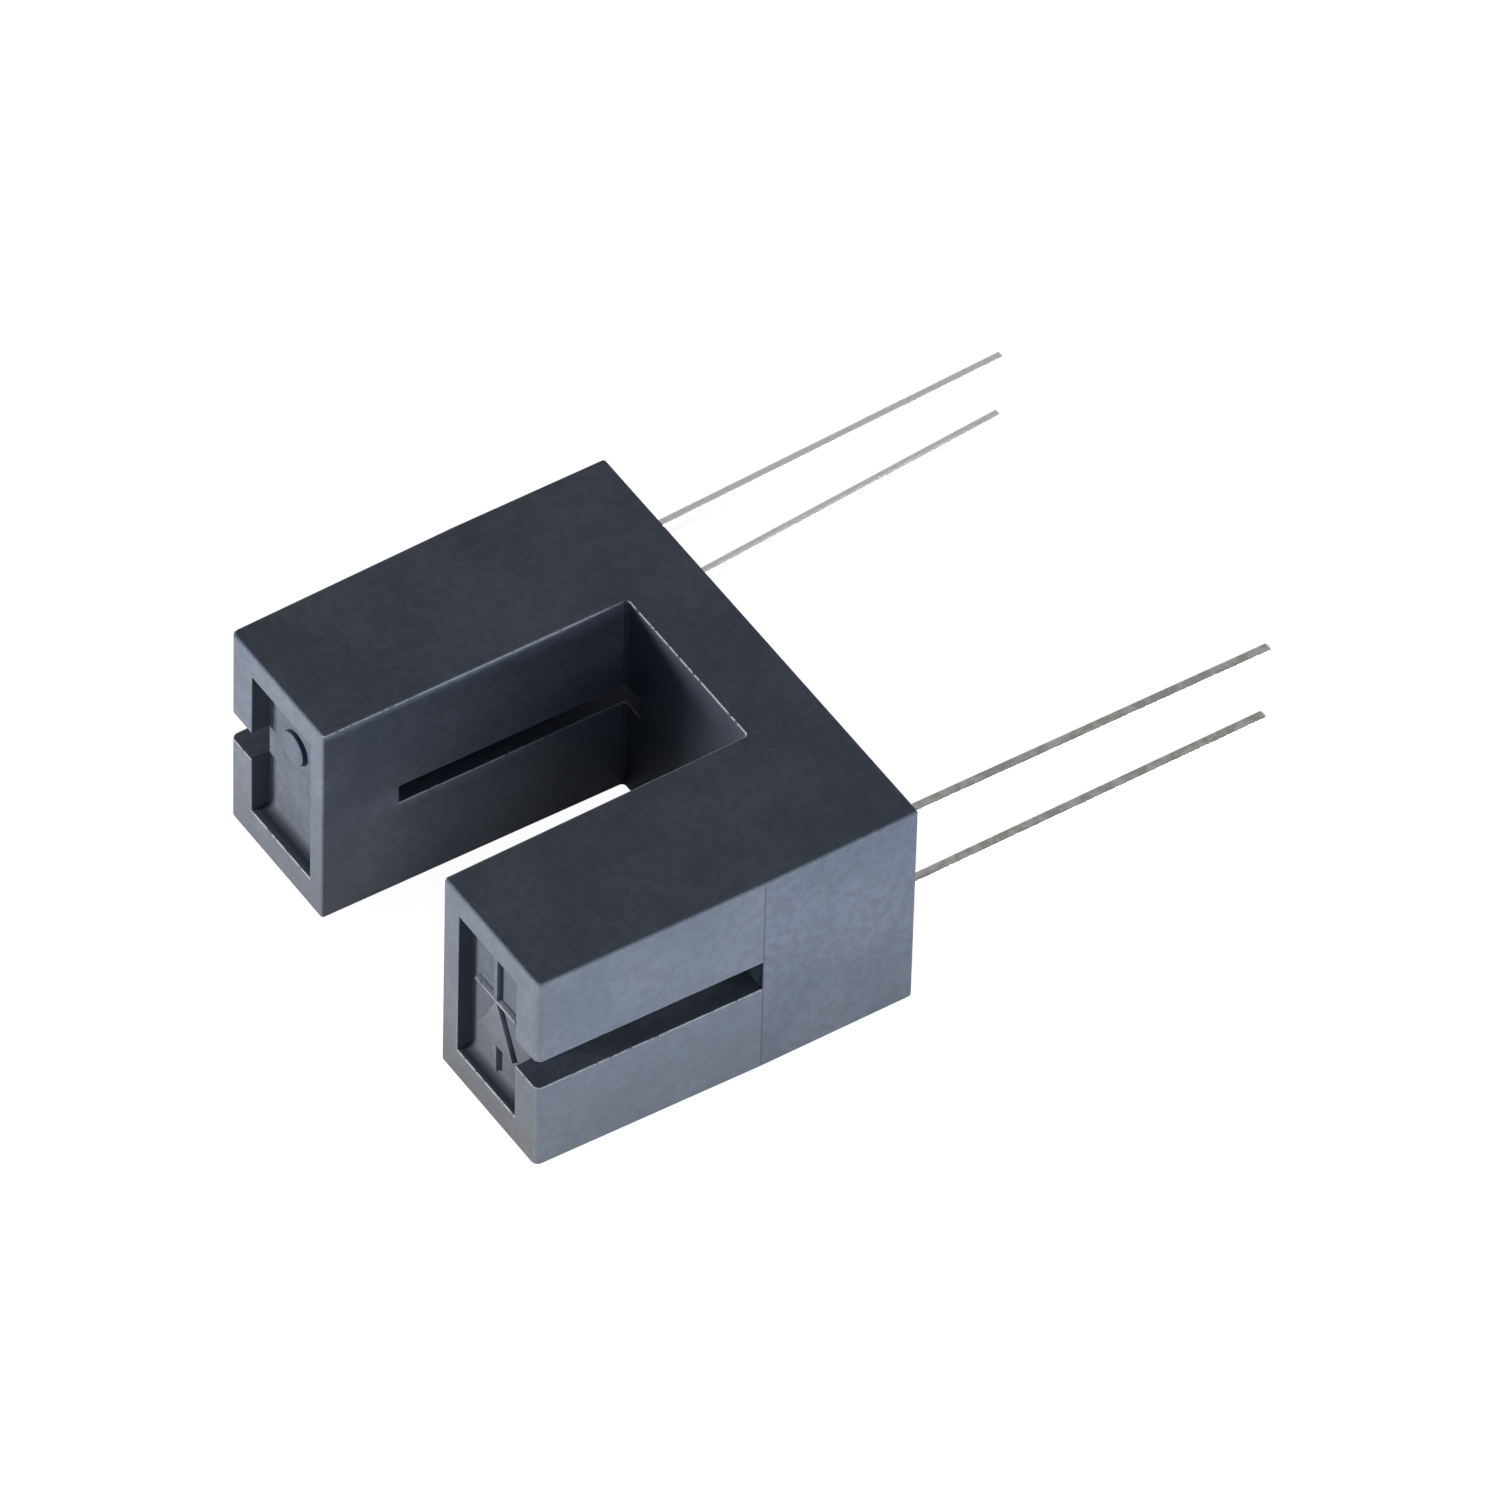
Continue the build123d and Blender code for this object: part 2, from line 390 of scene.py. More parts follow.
@dataclass(frozen=True)
class Finish:
    """Finish that makes its own material.

    Args:
        name: The material's name.
    """

    name: str

    def wire(self, surface: Surface, effects: SharedEffects) -> None:
        """Wires the surface, which each finish does in its own way."""
        raise NotImplementedError(self.name)

    def material(self, effects: SharedEffects) -> Material:
        """Builds the material.

        Args:
            effects: The shared surface effects.

        Returns:
            The material.
        """
        surface = Surface(self.name)
        self.wire(surface, effects)
        return surface.material


@dataclass(frozen=True)
class MouldedPlastic(Finish):
    """Dark navy grey thermoplastic with a fine grain, worn edges, and painted light and shade.

    Args:
        line_place: Where the mould's parting line lies along Y.
        side_place: How far from the middle the outer sides begin.
    """

    line_place: float
    side_place: float
    shade: Colour = (0.056, 0.077, 0.116)
    light_shade: Colour = (0.080, 0.101, 0.144)
    cloud_shade: Colour = (0.036, 0.043, 0.070)
    # Dark colour of the parting line, and of the painted shade on the recess walls, the recess floors and
    # the slot's end.
    line_and_painted_shade: Colour = (0.008, 0.014, 0.028)
    # Warm dark colour of painted shade, blended in towards the floor and on the arms' end faces.
    painted_low_shade: Colour = (0.030, 0.026, 0.018)
    # Colour of the grain's flecks, also used as painted light on the outer sides' half towards the tips.
    fleck_shade: Colour = (0.115, 0.135, 0.170)
    # Pale colour of worn rims, partly a painted highlight that makes thin edge lines show even where an
    # edge is in shade.
    edge_wear_and_glint_shade: Colour = (0.27, 0.29, 0.32)
    cloud_share: float = 0.42
    # Share of painted light on the outer sides' tip half, lighter because its draft faces the front lamp.
    lit_tip_share: float = 0.2
    fleck_share: float = 0.45
    low_shade_share: float = 0.24
    # Share of painted shade on the arms' end faces at their top and at their bottom, deeper towards the
    # floor, over a slightly warmer tone.
    end_low_shade: Pair = (0.12, 0.48)
    low_shade_start: float = 1.6 * MM
    low_shade_end: float = -3.4 * MM
    line_share: float = 0.5
    line_half_width: float = 0.018 * MM
    line_half_length: float = 3.04 * MM
    line_fade_start: float = 2.9 * MM
    line_grains_deep: float = 2.5
    grain_depth: float = 0.0022 * MM
    gloss: Pair = (0.50, 0.42)
    scuff: float = 0.4

    def wire(self, surface: Surface, effects: SharedEffects) -> None:
        """Wires clouds, flecks, painted light and shade, parting line and worn edges with painted glints,
        in layers.
        """
        wiring = surface.wiring
        grain = surface.group(effects.grain, Grain_Scale=15000.0, Wave_Scale=2200.0, Wave_Share=0.5)
        smudge = surface.group(effects.smudges, Patch_Scale=420.0)["Mask"]
        wear_and_glint = surface.group(effects.edge_wear_and_glints, Break_Scale=8000.0, Cover=0.56, Corner_Share=0.18)
        axes = wiring.add("ShaderNodeSeparateXYZ", {0: surface.place}).outputs
        beside = wiring.maths("SUBTRACT", axes["Y"], self.line_place)
        outer = wiring.maths("GREATER_THAN", wiring.maths("ABSOLUTE", axes["X"]), self.side_place)
        away, height = wiring.maths("ABSOLUTE", beside), wiring.maths("ABSOLUTE", axes["Z"])
        line = wiring.ramp(away, self.line_half_width * 2, self.line_half_width * 0.5)
        short = wiring.ramp(height, self.line_half_length, self.line_fade_start)
        line = wiring.times(wiring.times(line, outer), short)
        # Painted light: the outer sides' half towards the tips is lighter, as its draft turns it to the
        # front lamp.
        lit_tip_half = wiring.times(wiring.maths("LESS_THAN", beside, 0.0), outer)
        # Painted shade: the body is darkened towards the floor, where less light reaches it.
        low_side = wiring.ramp(axes["Z"], self.low_shade_start, self.low_shade_end)
        end_low_shade = wiring.spread(low_side, *self.end_low_shade)
        body: object = self.shade
        for mask, share, shade in (
            (smudge, 1.0, self.light_shade),
            (grain["Mottle"], self.cloud_share, self.cloud_shade),
            # Painted light on the tip half.
            (lit_tip_half, self.lit_tip_share, self.fleck_shade),
            (grain["Fleck"], self.fleck_share, self.fleck_shade),
            # Painted shade towards the floor.
            (low_side, self.low_shade_share, self.painted_low_shade),
            # The arms' end faces: a slightly warmer tone with painted shade that deepens towards the floor.
            (wiring.attribute("end"), end_low_shade, self.painted_low_shade),
            (line, self.line_share, self.line_and_painted_shade),
            # Painted shade in the recesses and on the slot's end wall.
            (wiring.attribute("dull"), 1.0, self.line_and_painted_shade),
            # Worn rims with painted highlights, and rubbed corners painted lighter.
            (wear_and_glint["Mask"], 1.0, self.edge_wear_and_glint_shade),
        ):
            body = wiring.blend(wiring.times(mask, share), body, shade)
        gloss = wiring.spread(smudge, *self.gloss)
        rough = wiring.maths("ADD", gloss, wiring.times(wear_and_glint["Scuff"], self.scuff))
        surface.feed(Base_Color=body, Roughness=rough, IOR=1.5)
        groove = wiring.times(line, self.line_grains_deep)
        surface.relief(wiring.maths("SUBTRACT", grain["Height"], groove), self.grain_depth)


@dataclass(frozen=True)
class TinnedMetal(Finish):
    """Tin-plated lead frame with bright rolled faces and duller sheared edges.

    Args:
        tarnish: How far the sheared edges have gone dull, from 0 to 1.
    """

    tarnish: float
    bright: Colour = (0.97, 0.965, 0.95)
    dull: Colour = (0.56, 0.555, 0.525)
    stain: Colour = (0.85, 0.84, 0.80)
    stain_share: float = 0.9
    patchiness: Pair = (0.5, 1.25)
    streak_stretch: tuple[float, float, float] = (1.0, 0.06, 1.0)
    gloss: Pair = (0.26, 0.44)
    relief_depth: float = 0.004 * MM

    def wire(self, surface: Surface, effects: SharedEffects) -> None:
        """Wires the drawing streaks, and the dull and stained sheared edges."""
        wiring = surface.wiring
        drawn = wiring.add("ShaderNodeMapping", {"Scale": self.streak_stretch, "Vector": surface.place})
        streaks = wiring.noise(drawn.outputs["Vector"], 22000.0, 3.0)
        grain = surface.group(effects.grain, Grain_Scale=9000.0, Wave_Scale=1500.0, Wave_Share=0.8)
        smudge = surface.group(effects.smudges, Patch_Scale=3200.0)["Mask"]
        sheared = wiring.attribute("sheared")
        patchy = wiring.times(wiring.spread(smudge, *self.patchiness), sheared)
        metal = wiring.blend(wiring.times(patchy, self.tarnish), self.bright, self.dull)
        stained = wiring.times(grain["Fleck"], wiring.times(sheared, self.stain_share))
        surface.feed(Base_Color=wiring.blend(stained, metal, self.stain), Metallic=1.0)
        surface.feed(Roughness=wiring.spread(streaks, *self.gloss))
        surface.relief(wiring.maths("ADD", grain["Height"], streaks), self.relief_depth)


@dataclass(frozen=True)
class CastEpoxy(Finish):
    """Transfer-moulded epoxy of a package.

    Args:
        shade: The resin's colour.
        clouded: The resin's colour in its slow clouds.
        clear: How much light passes through.
    """

    shade: Colour
    clouded: Colour
    clear: float

    def wire(self, surface: Surface, effects: SharedEffects) -> None:
        """Wires the slow clouds in the resin."""
        grain = surface.group(effects.grain, Grain_Scale=6000.0, Wave_Scale=900.0, Wave_Share=1.0)
        smudge = surface.group(effects.smudges, Patch_Scale=700.0)["Mask"]
        surface.feed(Base_Color=surface.wiring.blend(smudge, self.shade, self.clouded))
        surface.feed(Roughness=surface.wiring.spread(smudge, 0.10, 0.2))
        surface.feed(IOR=1.54, Transmission_Weight=self.clear)
        surface.relief(grain["Height"], 0.0012 * MM)


@dataclass(frozen=True)
class SawnDie(Finish):
    """Polished semiconductor die with rows of metal pads."""

    shade: Colour = (0.10, 0.10, 0.125)
    pad_shade: Colour = (0.32, 0.28, 0.2)

    def wire(self, surface: Surface, effects: SharedEffects) -> None:
        """Wires the rows of square pads."""
        wiring = surface.wiring
        inputs = {"Vector": surface.place, "Scale": 11000.0, "Randomness": 0.0}
        tiles = wiring.add("ShaderNodeTexVoronoi", inputs, distance="CHEBYCHEV")
        cells = wiring.ramp(tiles.outputs["Distance"], 0.34, 0.44)
        grain = surface.group(effects.grain, Grain_Scale=30000.0, Wave_Scale=5000.0, Wave_Share=0.2)
        surface.feed(Base_Color=wiring.blend(cells, self.shade, self.pad_shade), Metallic=0.4)
        surface.feed(Roughness=wiring.spread(cells, 0.12, 0.35))
        surface.relief(grain["Height"], 0.0008 * MM)


@dataclass(frozen=True)
class FleckedMetal(Finish):
    """Metal, or resin that is filled with it, with small flecks of a second colour.

    Args:
        shade: The ground's colour.
        fleck_shade: The flecks' colour.
        grain: Grains per metre, slower waves per metre and the waves' share.
        gloss: The roughness of the ground and of the flecks.
        metal: How far it mirrors like a metal.
        relief_depth: The grain's depth in metres.
    """

    shade: Colour
    fleck_shade: Colour
    grain: tuple[float, float, float]
    gloss: Pair
    metal: float
    relief_depth: float

    def wire(self, surface: Surface, effects: SharedEffects) -> None:
        """Wires the flecks."""
        grains, waves, share = self.grain
        grain = surface.group(effects.grain, Grain_Scale=grains, Wave_Scale=waves, Wave_Share=share)
        surface.feed(Base_Color=surface.wiring.blend(grain["Fleck"], self.shade, self.fleck_shade))
        surface.feed(Roughness=surface.wiring.spread(grain["Fleck"], *self.gloss), Metallic=self.metal)
        surface.relief(grain["Height"], self.relief_depth)


# Meshes


MERGE_DISTANCE = 0.001 * MM
MERGE_ANGLE = math.radians(0.5)
CRISP_ANGLE = math.radians(60.0)
SMOOTH_ANGLE = math.radians(40.0)


def merged_copy(node: Piece) -> Mesh:
    """Copy of a CAD node with its loose triangles merged into whole faces.

    Args:
        node: The CAD node's object.

    Returns:
        The merged mesh.
    """
    mesh = bmesh.new()
    mesh.from_mesh(node.data)
    bmesh.ops.remove_doubles(mesh, verts=mesh.verts, dist=MERGE_DISTANCE)
    bmesh.ops.dissolve_limit(mesh, angle_limit=MERGE_ANGLE, verts=mesh.verts, edges=mesh.edges)
    return mesh


def crisp_edges(mesh: Mesh) -> list[Edge]:
    """Outward edges that the CAD left without a radius."""
    return [edge for edge in mesh.edges if edge.is_convex and edge.calc_face_angle(0.0) > CRISP_ANGLE]


def soften(mesh: Mesh, edges: list[Edge], radius: float, segments: int) -> None:
    """Rounds some edges.

    Args:
        mesh: The mesh to work on.
        edges: The edges to round.
        radius: The round's radius in metres.
        segments: How many facets make the round.
    """
    bmesh.ops.bevel(
        mesh,
        geom=edges,
        offset=radius,
        offset_type="OFFSET",
        segments=segments,
        profile=0.5,
        affect="EDGES",
        clamp_overlap=False,
    )


def mark_faces(mesh: Mesh, names: tuple[str, ...], shares: Callable[[Face], dict[str, float]]) -> None:
    """Gives every face its shares, smooths it, and keeps the crisp inward edges crisp.

    Args:
        mesh: The mesh to work on.
        names: The names of the shares.
        shares: Finds a face's share for each name.
    """
    mesh.normal_update()
    layers = {name: mesh.faces.layers.float.new(name) for name in names}
    for face in mesh.faces:
        face.smooth = True
        for name, share in shares(face).items():
            face[layers[name]] = share
    for edge in mesh.edges:
        edge.smooth = edge.calc_face_angle(0.0) < SMOOTH_ANGLE


def add_object(name: str, data: bpy.types.ID) -> Piece:
    """Adds an object to the scene for a mesh, curve, lamp or camera."""
    made = bpy.data.objects.new(name, data)
    bpy.context.scene.collection.objects.link(made)
    return made


def evaluated_mesh(item: Piece) -> bpy.types.Mesh:
    """Plain mesh of an object, as its modifiers leave it."""
    graph = bpy.context.evaluated_depsgraph_get()
    return bpy.data.meshes.new_from_object(item.evaluated_get(graph), depsgraph=graph)


def new_piece(name: str, mesh: Mesh, material: Material) -> Piece:
    """Turns a finished mesh into an object.

    Args:
        name: The piece's name.
        mesh: The mesh, which is freed.
        material: The piece's material.

    Returns:
        The object without modifiers, with normals that keep its flats flat.
    """
    data = bpy.data.meshes.new(name)
    mesh.to_mesh(data)
    mesh.free()
    data.materials.clear()
    data.materials.append(material)
    piece = add_object(name, data)
    weighted = piece.modifiers.new("flats", "WEIGHTED_NORMAL")
    weighted.keep_sharp = True
    weighted.weight = 100
    plain = evaluated_mesh(piece)
    plain.name = name
    piece.modifiers.clear()
    piece.data = plain
    return piece


# Sub-assemblies


@dataclass
class Housing:
    """Moulded U-shaped body with its softened edges.

    A tilt is the size of one part of a face's normal.

    Args:
        node: The CAD node of the body.
        box: The body's lowest and highest corners.
    """

    node: Piece
    box: tuple[Vector, Vector]
    edge_radius: float = 0.028 * MM
    edge_segments: int = 2
    recess_depth: float = 0.5 * MM
    sign_recess_depth: float = 0.4 * MM
    sign_recess_shift: float = 0.1 * MM
    recess_sides: Pair = (3.09 * MM, 5.61 * MM)
    recess_ends: Pair = (-2.14 * MM, 2.30 * MM)
    recess_corner: float = 0.085 * MM
    recess_fillet: float = 0.26 * MM
    fillet_segments: int = 6
    recess_edge_length: float = 0.4 * MM
    near: float = 0.02 * MM
    very_near: float = 0.002 * MM
    rim_depth: float = 0.3 * MM
    lip_width: float = 0.5 * MM
    slot_half_width: float = 2.65 * MM
    slot_end_start: float = 0.7
    flat_tilt: float = 0.975
    upright_tilt: float = 0.15
    crest_tilt: Pair = (0.45, 0.85)
    # Shares of the rims' pale wear, partly painted highlight; the lips beside the slot and the recesses get
    # more.
    rim_wear_and_glint: float = 0.7
    lip_wear_and_glint: float = 1.4
    # How much of the corners' rubbing and painted light the corners beside the slot get.
    slot_corner_rub_and_light: float = 0.5
    # How much of the end faces' painted shade and warmer tone the far arm's end gets.
    far_end_shade: float = 0.3
    # Shares of painted shade on the recess walls, on the detector recess's floor and on the sign recess's
    # floor.
    wall_painted_shade: float = 3.0
    floor_painted_shade: float = 0.13
    sign_floor_painted_shade: float = 0.24
    parting_from_tip: float = 6.03 * MM
    side_from_widest: float = 0.15 * MM

    def parting_place(self) -> float:
        """Where the mould's parting line lies along Y."""
        return self.box[0].y + self.parting_from_tip

    def side_place(self) -> float:
        """How far from the middle a face is when it belongs to an outer side."""
        return self.box[1].x - self.side_from_widest

    def floor_place(self, x: float) -> float:
        """Where the floor of the recess on that side lies along Y."""
        return self.box[0].y + (self.sign_recess_depth if x > 0 else self.recess_depth)

    def on_floor(self, edge: Edge, slack: float) -> bool:
        """Whether an edge lies as deep as its recess's floor."""
        return all(abs(vert.co.y - self.floor_place(vert.co.x)) < slack for vert in edge.verts)

    def inside_rim(self, x: float, z: float, slack: float) -> bool:
        """Whether a place lies inside a recess's rim, as seen from the arm's end."""
        across = self.recess_sides[0] - slack < x < self.recess_sides[1] + slack
        return across and self.recess_ends[0] - slack < z < self.recess_ends[1] + slack

    def square_recesses(self, mesh: Mesh) -> None:
        """Draws each recess's small corner rounds to a point, as a sharp insert leaves them."""
        deepest = self.box[0].y + self.recess_depth + 0.05 * MM
        for vert in mesh.verts:
            side = min(self.recess_sides, key=lambda place: abs(place - abs(vert.co.x)))
            end = min(self.recess_ends, key=lambda place: abs(place - vert.co.z))
            off = max(abs(abs(vert.co.x) - side), abs(vert.co.z - end))
            if vert.co.y < deepest and off < self.recess_corner:
                vert.co.x = math.copysign(side, vert.co.x)
                vert.co.z = end
        bmesh.ops.remove_doubles(mesh, verts=mesh.verts, dist=MERGE_DISTANCE)

    def fit_sign_recess(self, mesh: Mesh) -> None:
        """Makes the emitter arm's recess shallower and narrower, as its own insert does."""
        deepest = self.box[0].y + self.recess_depth
        for vert in mesh.verts:
            place = vert.co
            if not self.inside_rim(place.x, place.z, self.near) or place.y >= deepest + self.near:
                continue
            if abs(place.y - deepest) < self.near:
                place.y = self.floor_place(place.x)
            if abs(place.x - self.recess_sides[0]) < self.near:
                place.x += self.sign_recess_shift

    def recess_edges(self, mesh: Mesh) -> list[Edge]:
        """Inward edges between the recess floors and the walls along the thickness."""
        return [
            edge
            for edge in mesh.edges
            if self.on_floor(edge, self.near)
            and abs(edge.verts[0].co.x - edge.verts[1].co.x) > self.recess_edge_length
            and not edge.is_convex
            and edge.calc_face_angle(0.0) > CRISP_ANGLE
        ]

    def in_recess(self, place: Vector) -> bool:
        """Whether a place is on the floor or a wall of an arm end's recess."""
        deep = self.near < place.y - self.box[0].y
        above_floor = place.y < self.floor_place(place.x) + self.very_near
        return deep and above_floor and self.inside_rim(abs(place.x), place.z, 0.01 * MM)

    def painted_shade_share(self, face: Face) -> float:
        """How far a face gets painted shade: the walls of the recesses and the slot's end.

        Args:
            face: The face to judge.

        Returns:
            1 on a wall in painted shade, less over a recess's fillet and floor, and 0 elsewhere.
        """
        middle = face.calc_center_median()
        if self.in_recess(middle):
            on_floor = self.sign_floor_painted_shade if middle.x > 0 else self.floor_painted_shade
            return min(1.0, on_floor + self.wall_painted_shade * (1.0 - abs(face.normal.y)))
        far_back = middle.y - self.box[0].y > self.slot_end_start * (self.box[1].y - self.box[0].y)
        return float(far_back and face.normal.y < -0.1 and abs(middle.x) < self.slot_half_width)

    def wear_light_and_shade_shares(self, face: Face) -> dict[str, float]:
        """How far a face is worn, and how much painted light or shade it gets.

        Args:
            face: The face to judge.

        Returns:
            The share of a worn rim with a painted highlight, of a rubbed corner painted lighter,
            of any round, of painted shade on a wall and of painted shade on an arm's end.
        """
        across = abs(face.normal.z)
        middle = face.calc_center_median()
        tilted = max(abs(part) for part in face.normal) < self.flat_tilt
        hollow = self.in_recess(middle)
        by_slot = abs(middle.x) < self.slot_half_width
        upright = tilted and across < self.upright_tilt
        broad_rim = tilted and not upright and abs(middle.z) > self.box[1].z - self.rim_depth
        # Upright rounds at the arm ends are rubbed and painted lighter, for light that the round corner
        # misses.
        corner = upright and middle.y < self.box[0].y + self.rim_depth
        crest = by_slot and middle.y < -self.rim_depth and self.crest_tilt[0] < across < self.crest_tilt[1]
        bright = tilted and not hollow and not upright and (crest or not broad_rim)
        lip = bright and not broad_rim and abs(middle.x) < self.recess_sides[0] + self.lip_width
        at_tip = face.normal.y < -0.9 and middle.y < self.box[0].y + self.recess_depth + 0.01 * MM
        return {
            # Worn rims with painted highlights.
            "rim": self.lip_wear_and_glint if lip else self.rim_wear_and_glint * bright,
            # Rubbed corners painted lighter.
            "corner": corner * (self.slot_corner_rub_and_light if by_slot else 1.0),
            "round": float(tilted or hollow),
            # Painted shade in the recesses and on the slot's end.
            "dull": self.painted_shade_share(face),
            # Painted shade, with a slightly warmer tone, on the arms' end faces.
            "end": at_tip * (1.0 if middle.x > 0 else self.far_end_shade),
        }

    def keep_floors_flat(self, mesh: Mesh) -> None:
        """Makes the recess floors' edges crisp, so that no round next to a floor shades it."""
        for edge in mesh.edges:
            beside_round = any(abs(face.normal.y) < 0.9995 for face in edge.link_faces)
            if beside_round and self.on_floor(edge, self.very_near):
                edge.smooth = False

    def build(self, material: Material) -> Piece:
        """Builds the body's softened copy.

        Args:
            material: The moulded plastic.

        Returns:
            The piece that stands for the CAD body.
        """
        mesh = merged_copy(self.node)
        self.square_recesses(mesh)
        self.fit_sign_recess(mesh)
        soften(mesh, self.recess_edges(mesh), self.recess_fillet, self.fillet_segments)
        soften(mesh, crisp_edges(mesh), self.edge_radius, self.edge_segments)
        mark_faces(mesh, ("rim", "corner", "round", "dull", "end"), self.wear_light_and_shade_shares)
        self.keep_floors_flat(mesh)
        piece = new_piece("housing_moulded", mesh, material)
        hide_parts("housing")
        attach(piece, "root")
        return piece


@dataclass
class StrokeTree:
    """Geometry nodes that sweep a raised stroke along a drawn line."""

    tree: Tree = field(init=False)
    sockets: dict[str, str] = field(init=False)

    def __post_init__(self) -> None:
        """Builds the tree."""
        self.tree = bpy.data.node_groups.new("raised_stroke", "GeometryNodeTree")
        face = self.tree.interface
        face.new_socket(name="Line", in_out="INPUT", socket_type="NodeSocketGeometry")
        kinds = {"Width": "Float", "Relief": "Float", "Draft": "Float", "Finish": "Material"}
        self.sockets = {
            name: face.new_socket(name=name, in_out="INPUT", socket_type=f"NodeSocket{kind}").identifier
            for name, kind in kinds.items()
        }
        face.new_socket(name="Stroke", in_out="OUTPUT", socket_type="NodeSocketGeometry")
        self.wire(Wiring(self.tree))

    def wire(self, wiring: Wiring) -> None:
        """Sweeps a drafted profile along the line, which is its foot's middle."""
        given = wiring.add("NodeGroupInput").outputs
        sizes = {
            "Bottom Width": wiring.maths("SUBTRACT", given["Width"], given["Draft"]),
            "Top Width": given["Width"],
            "Height": given["Relief"],
            "Offset": 0.0,
        }
        profile = wiring.add("GeometryNodeCurvePrimitiveQuadrilateral", sizes, mode="TRAPEZOID")
        up = wiring.add("ShaderNodeCombineXYZ", {"Y": wiring.times(given["Relief"], -0.5)})
        lifting = {"Geometry": profile.outputs["Curve"], "Translation": up.outputs["Vector"]}
        lifted = wiring.add("GeometryNodeTransform", lifting)
        upright = wiring.add("GeometryNodeSetCurveNormal", {"Curve": given["Line"]}, mode="Z_UP")
        sweeping = {
            "Curve": upright.outputs["Curve"],
            "Profile Curve": lifted.outputs["Geometry"],
            "Fill Caps": True,
        }
        swept = wiring.add("GeometryNodeCurveToMesh", sweeping)
        finishing = {"Geometry": swept.outputs["Mesh"], "Material": given["Finish"]}
        finished = wiring.add("GeometryNodeSetMaterial", finishing)
        real = wiring.add("GeometryNodeRealizeInstances", {"Geometry": finished.outputs["Geometry"]})
        wiring.add("NodeGroupOutput", {"Stroke": real.outputs["Geometry"]})


